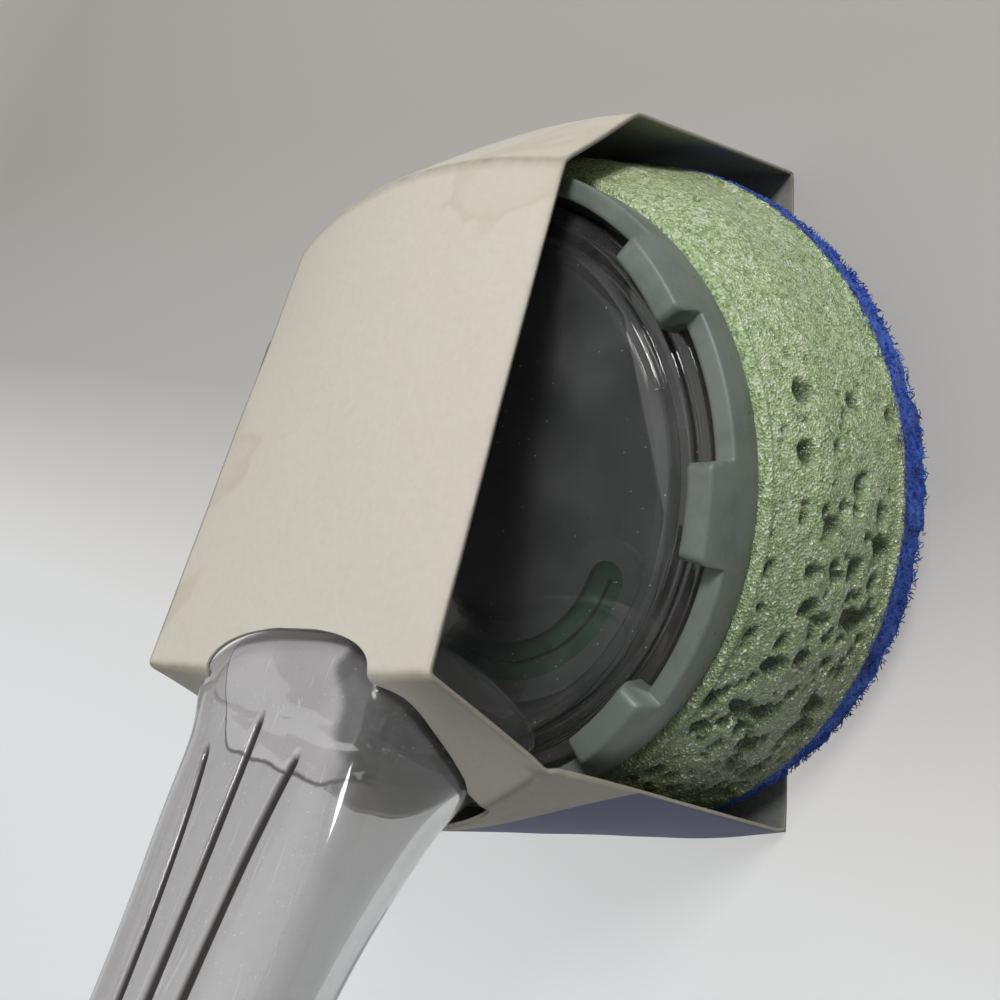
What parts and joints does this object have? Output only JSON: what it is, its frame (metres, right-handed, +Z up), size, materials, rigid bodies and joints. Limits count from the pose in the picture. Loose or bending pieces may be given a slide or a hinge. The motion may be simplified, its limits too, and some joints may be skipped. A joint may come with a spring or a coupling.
{
  "type": "soap-dispensing bath scrubber",
  "caption": "Bath scrubber with a clear hollow soap handle, a clip-on round sponge and scouring pad head, a screw filler cap and a plain folded card sleeve.",
  "frame": {"origin": "on the floor under the centre of the head, on the outer face of the card sleeve's front panel", "axes": "+Y along the object away from the handle, +Z up off the surface it lies on, +X to the right"},
  "size_m": [0.1214, 0.2654, 0.1529],
  "materials": {
    "smoked_plastic": "clear smoke-grey moulded plastic, glossy",
    "dark_plastic": "dark grey moulded plastic",
    "valve_silicone": "soft dark green silicone",
    "seal_rubber": "black rubber",
    "grey_plastic": "satin green-grey moulded plastic",
    "green_foam": "open-cell foam",
    "blue_fleece": "non-woven abrasive fibre",
    "card": "uncoated white card, stands in for paper board"
  },
  "bodies": {
    "handle": {"reservoir_bottle": "smoked_plastic", "base_plate": "dark_plastic", "valve_frame": "dark_plastic", "slot_valve": "valve_silicone", "head_seal": "seal_rubber", "card_sleeve": "card"},
    "refill_head": {"lug_ring": "grey_plastic", "sponge": "green_foam", "scouring_pad": "blue_fleece"},
    "cap_seal_ring": {"cap_seal": "seal_rubber"},
    "cap": {"filler_cap": "grey_plastic"}
  },
  "joints": [
    {"name": "refill_head_turn", "type": "hinge", "parent": "handle", "child": "refill_head", "pos_m": [0, 0, 0.0454], "axis": [0, -0.1392, 0.9903], "continuous": true},
    {"name": "filler_cap_lift", "type": "slide", "parent": "handle", "child": "cap_seal_ring", "axis": [0, -0.9212, 0.3891], "range_m": [0, 0.0075]},
    {"name": "filler_cap_turn", "type": "hinge", "parent": "cap_seal_ring", "child": "cap", "pos_m": [0, -0.1779, 0.13565], "axis": [0, -0.9212, 0.3891], "range_deg": [0, 900]}
  ],
  "couplings": [
    {"joint": "filler_cap_lift", "follows": "filler_cap_turn", "m_per_rad": 0.00047746}
  ]
}
